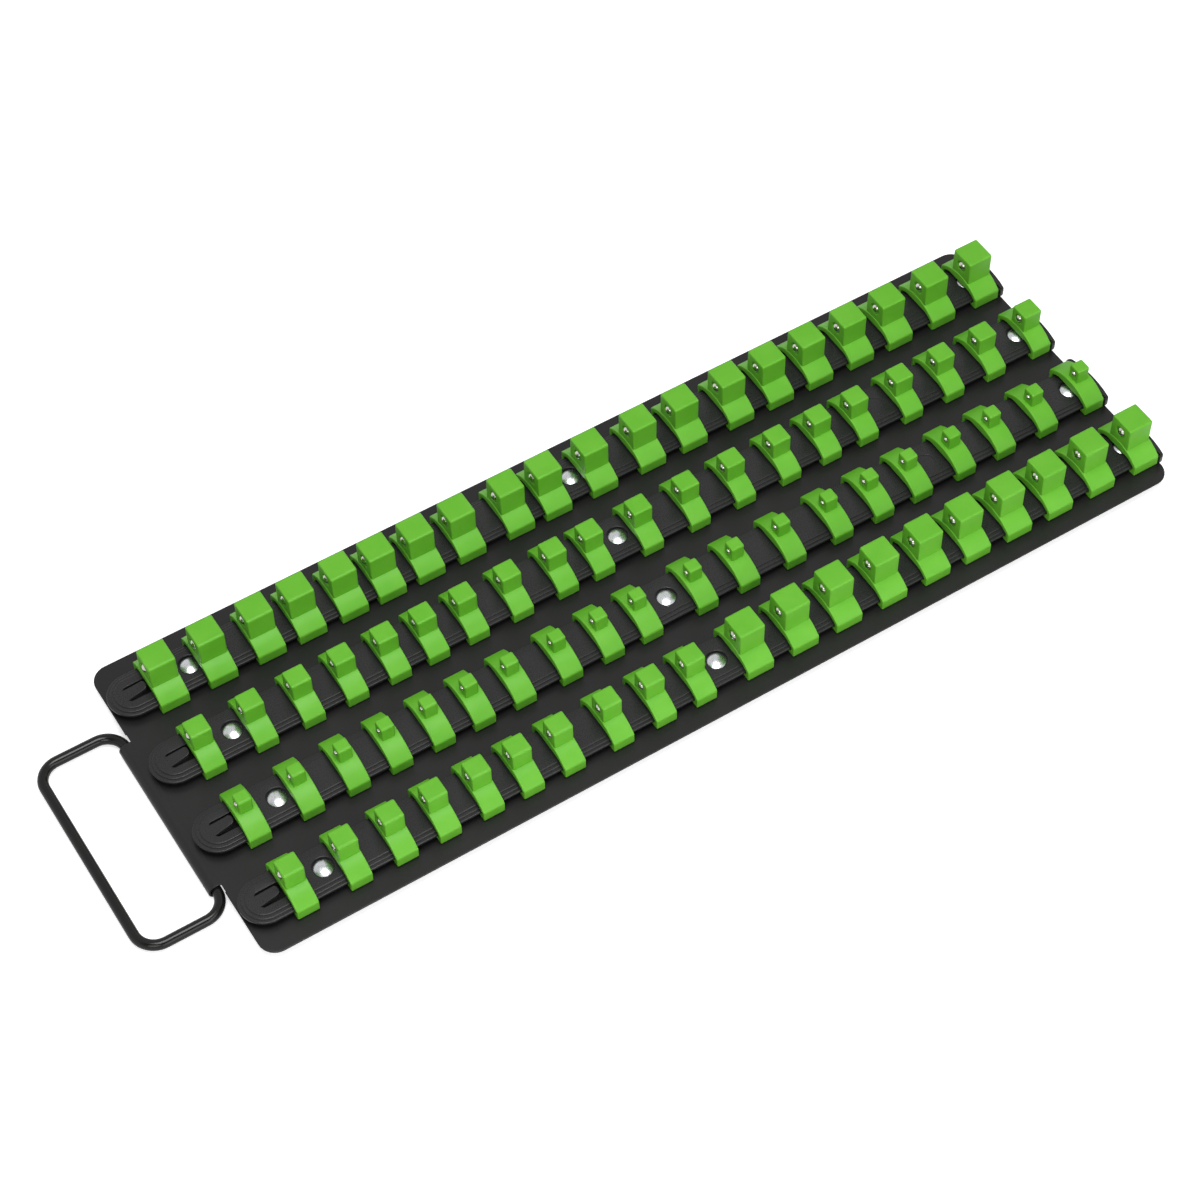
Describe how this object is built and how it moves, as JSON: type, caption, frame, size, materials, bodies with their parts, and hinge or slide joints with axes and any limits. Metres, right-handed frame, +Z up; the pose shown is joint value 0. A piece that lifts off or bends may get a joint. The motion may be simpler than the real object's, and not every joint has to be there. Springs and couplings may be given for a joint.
{
  "type": "socket rail tray",
  "caption": "Flat sheet tray with four moulded rails; sprung-ball clips with square drive posts slide on the rails; swinging wire handle at one end.",
  "frame": {"origin": "middle of the tray's bounding box, on the surface it stands on", "axes": "+X along the rails, away from the handle; +Y towards the back row; +Z up along the posts"},
  "size_m": [0.5054, 0.1644, 0.0304],
  "materials": {
    "tray_paint": "black powder coat, fine satin texture",
    "handle_paint": "black coated round rod, satin",
    "rail_plastic": "moulded black, fine grain",
    "clip_plastic": "moulded bright green, satin",
    "rivet_plating": "bright plated steel, lightly worn",
    "ball_chrome": "polished chrome steel",
    "spring_wire": "drawn spring wire"
  },
  "bodies": {
    "tray": {"tray_plate": "tray_paint", "rail_row1": "rail_plastic", "rail_row2": "rail_plastic", "rail_row3": "rail_plastic", "rail_row4": "rail_plastic", "rivet_row1_1": "rivet_plating", "rivet_row1_2": "rivet_plating", "rivet_row1_3": "rivet_plating", "rivet_row2_1": "rivet_plating", "rivet_row2_2": "rivet_plating", "rivet_row2_3": "rivet_plating", "rivet_row3_1": "rivet_plating", "rivet_row3_2": "rivet_plating", "rivet_row3_3": "rivet_plating", "rivet_row4_1": "rivet_plating", "rivet_row4_2": "rivet_plating", "rivet_row4_3": "rivet_plating"},
    "handle": {"carry_handle": "handle_paint"},
    "clip_row1_02": {"clip_row1_02": "clip_plastic"},
    "clip_row1_04": {"clip_row1_04": "clip_plastic"},
    "clip_row1_06": {"clip_row1_06": "clip_plastic"},
    "clip_row1_08": {"clip_row1_08": "clip_plastic"},
    "clip_row1_10": {"clip_row1_10": "clip_plastic"},
    "clip_row1_12": {"clip_row1_12": "clip_plastic"},
    "clip_row1_14": {"clip_row1_14": "clip_plastic"},
    "clip_row1_16": {"clip_row1_16": "clip_plastic"},
    "clip_row1_18": {"clip_row1_18": "clip_plastic"},
    "clip_row2_02": {"clip_row2_02": "clip_plastic"},
    "clip_row2_04": {"clip_row2_04": "clip_plastic"},
    "clip_row2_06": {"clip_row2_06": "clip_plastic"},
    "clip_row2_08": {"clip_row2_08": "clip_plastic"},
    "clip_row2_10": {"clip_row2_10": "clip_plastic"},
    "clip_row2_12": {"clip_row2_12": "clip_plastic"},
    "clip_row2_14": {"clip_row2_14": "clip_plastic"},
    "clip_row2_16": {"clip_row2_16": "clip_plastic"},
    "clip_row2_18": {"clip_row2_18": "clip_plastic"},
    "clip_row3_02": {"clip_row3_02": "clip_plastic", "spring_quarter_inch": "spring_wire"},
    "ball_quarter_inch": {"ball_quarter_inch": "ball_chrome"},
    "clip_row3_04": {"clip_row3_04": "clip_plastic"},
    "clip_row3_06": {"clip_row3_06": "clip_plastic"},
    "clip_row3_08": {"clip_row3_08": "clip_plastic"},
    "clip_row3_10": {"clip_row3_10": "clip_plastic"},
    "clip_row3_12": {"clip_row3_12": "clip_plastic"},
    "clip_row3_14": {"clip_row3_14": "clip_plastic"},
    "clip_row3_16": {"clip_row3_16": "clip_plastic"},
    "clip_row3_18": {"clip_row3_18": "clip_plastic"},
    "clip_row4_02": {"clip_row4_02": "clip_plastic", "spring_three_eighths": "spring_wire"},
    "ball_three_eighths": {"ball_three_eighths": "ball_chrome"},
    "clip_row4_04": {"clip_row4_04": "clip_plastic"},
    "clip_row4_06": {"clip_row4_06": "clip_plastic"},
    "clip_row4_08": {"clip_row4_08": "clip_plastic"},
    "clip_row4_10": {"clip_row4_10": "clip_plastic"},
    "clip_row4_12": {"clip_row4_12": "clip_plastic", "spring_half_inch": "spring_wire"},
    "ball_half_inch": {"ball_half_inch": "ball_chrome"},
    "clip_row4_14": {"clip_row4_14": "clip_plastic"},
    "clip_row4_16": {"clip_row4_16": "clip_plastic"},
    "clip_row4_18": {"clip_row4_18": "clip_plastic"}
  },
  "joints": [
    {"name": "handle_swing", "type": "hinge", "parent": "tray", "child": "handle", "pos_m": [-0.21245, 0, 0.00365], "axis": [0, 1, 0], "range_deg": [-174, 78]},
    {"name": "slide_row1_02", "type": "slide", "parent": "tray", "child": "clip_row1_02", "axis": [1, 0, 0], "range_m": [-0.00967, 0.00985]},
    {"name": "slide_row1_04", "type": "slide", "parent": "tray", "child": "clip_row1_04", "axis": [1, 0, 0], "range_m": [-0.00635, 0.00722]},
    {"name": "slide_row1_06", "type": "slide", "parent": "tray", "child": "clip_row1_06", "axis": [1, 0, 0], "range_m": [-0.0053, 0.006]},
    {"name": "slide_row1_08", "type": "slide", "parent": "tray", "child": "clip_row1_08", "axis": [1, 0, 0], "range_m": [-0.00723, 0.0116]},
    {"name": "slide_row1_10", "type": "slide", "parent": "tray", "child": "clip_row1_10", "axis": [1, 0, 0], "range_m": [-0.00583, 0.01055]},
    {"name": "slide_row1_12", "type": "slide", "parent": "tray", "child": "clip_row1_12", "axis": [1, 0, 0], "range_m": [-0.01195, 0.0088]},
    {"name": "slide_row1_14", "type": "slide", "parent": "tray", "child": "clip_row1_14", "axis": [1, 0, 0], "range_m": [-0.01177, 0.00827]},
    {"name": "slide_row1_16", "type": "slide", "parent": "tray", "child": "clip_row1_16", "axis": [1, 0, 0], "range_m": [-0.00827, 0.00932]},
    {"name": "slide_row1_18", "type": "slide", "parent": "tray", "child": "clip_row1_18", "axis": [1, 0, 0], "range_m": [-0.00827, 0.0109]},
    {"name": "slide_row2_02", "type": "slide", "parent": "tray", "child": "clip_row2_02", "axis": [1, 0, 0], "range_m": [-0.01424, 0.0121]},
    {"name": "slide_row2_04", "type": "slide", "parent": "tray", "child": "clip_row2_04", "axis": [1, 0, 0], "range_m": [-0.01067, 0.01043]},
    {"name": "slide_row2_06", "type": "slide", "parent": "tray", "child": "clip_row2_06", "axis": [1, 0, 0], "range_m": [-0.00852, 0.00947]},
    {"name": "slide_row2_08", "type": "slide", "parent": "tray", "child": "clip_row2_08", "axis": [1, 0, 0], "range_m": [-0.01186, 0.01257]},
    {"name": "slide_row2_10", "type": "slide", "parent": "tray", "child": "clip_row2_10", "axis": [1, 0, 0], "range_m": [-0.00828, 0.01496]},
    {"name": "slide_row2_12", "type": "slide", "parent": "tray", "child": "clip_row2_12", "axis": [1, 0, 0], "range_m": [-0.01424, 0.01377]},
    {"name": "slide_row2_14", "type": "slide", "parent": "tray", "child": "clip_row2_14", "axis": [1, 0, 0], "range_m": [-0.014, 0.01162]},
    {"name": "slide_row2_16", "type": "slide", "parent": "tray", "child": "clip_row2_16", "axis": [1, 0, 0], "range_m": [-0.00995, 0.01424]},
    {"name": "slide_row2_18", "type": "slide", "parent": "tray", "child": "clip_row2_18", "axis": [1, 0, 0], "range_m": [-0.01281, 0.01305]},
    {"name": "slide_row3_02", "type": "slide", "parent": "tray", "child": "clip_row3_02", "axis": [1, 0, 0], "range_m": [-0.01448, 0.01138]},
    {"name": "slide_row3_04", "type": "slide", "parent": "tray", "child": "clip_row3_04", "axis": [1, 0, 0], "range_m": [-0.00995, 0.01019]},
    {"name": "slide_row3_06", "type": "slide", "parent": "tray", "child": "clip_row3_06", "axis": [1, 0, 0], "range_m": [-0.00924, 0.00971]},
    {"name": "slide_row3_08", "type": "slide", "parent": "tray", "child": "clip_row3_08", "axis": [1, 0, 0], "range_m": [-0.01281, 0.01067]},
    {"name": "slide_row3_10", "type": "slide", "parent": "tray", "child": "clip_row3_10", "axis": [1, 0, 0], "range_m": [-0.00924, 0.01806]},
    {"name": "slide_row3_12", "type": "slide", "parent": "tray", "child": "clip_row3_12", "axis": [1, 0, 0], "range_m": [-0.01138, 0.014]},
    {"name": "slide_row3_14", "type": "slide", "parent": "tray", "child": "clip_row3_14", "axis": [1, 0, 0], "range_m": [-0.01472, 0.01162]},
    {"name": "slide_row3_16", "type": "slide", "parent": "tray", "child": "clip_row3_16", "axis": [1, 0, 0], "range_m": [-0.01067, 0.01329]},
    {"name": "slide_row3_18", "type": "slide", "parent": "tray", "child": "clip_row3_18", "axis": [1, 0, 0], "range_m": [-0.01186, 0.01329]},
    {"name": "slide_row4_02", "type": "slide", "parent": "tray", "child": "clip_row4_02", "axis": [1, 0, 0], "range_m": [-0.01438, 0.01107]},
    {"name": "slide_row4_04", "type": "slide", "parent": "tray", "child": "clip_row4_04", "axis": [1, 0, 0], "range_m": [-0.01003, 0.01024]},
    {"name": "slide_row4_06", "type": "slide", "parent": "tray", "child": "clip_row4_06", "axis": [1, 0, 0], "range_m": [-0.009, 0.00962]},
    {"name": "slide_row4_08", "type": "slide", "parent": "tray", "child": "clip_row4_08", "axis": [1, 0, 0], "range_m": [-0.01355, 0.01086]},
    {"name": "slide_row4_10", "type": "slide", "parent": "tray", "child": "clip_row4_10", "axis": [1, 0, 0], "range_m": [-0.00983, 0.01562]},
    {"name": "slide_row4_12", "type": "slide", "parent": "tray", "child": "clip_row4_12", "axis": [1, 0, 0], "range_m": [-0.00962, 0.00921]},
    {"name": "slide_row4_14", "type": "slide", "parent": "tray", "child": "clip_row4_14", "axis": [1, 0, 0], "range_m": [-0.01024, 0.00962]},
    {"name": "slide_row4_16", "type": "slide", "parent": "tray", "child": "clip_row4_16", "axis": [1, 0, 0], "range_m": [-0.00817, 0.009]},
    {"name": "slide_row4_18", "type": "slide", "parent": "tray", "child": "clip_row4_18", "axis": [1, 0, 0], "range_m": [-0.009, 0.00983]},
    {"name": "ball_press_quarter_inch", "type": "slide", "parent": "clip_row3_02", "child": "ball_quarter_inch", "axis": [1, 0, 0], "range_m": [0, 0.00076], "stiffness_N_per_m": 1500, "springref_m": -0.002, "deforming": ["spring_quarter_inch"]},
    {"name": "ball_press_three_eighths", "type": "slide", "parent": "clip_row4_02", "child": "ball_three_eighths", "axis": [1, 0, 0], "range_m": [0, 0.00076], "stiffness_N_per_m": 2500, "springref_m": -0.002, "deforming": ["spring_three_eighths"]},
    {"name": "ball_press_half_inch", "type": "slide", "parent": "clip_row4_12", "child": "ball_half_inch", "axis": [1, 0, 0], "range_m": [0, 0.00076], "stiffness_N_per_m": 3000, "springref_m": -0.002, "deforming": ["spring_half_inch"]}
  ]
}
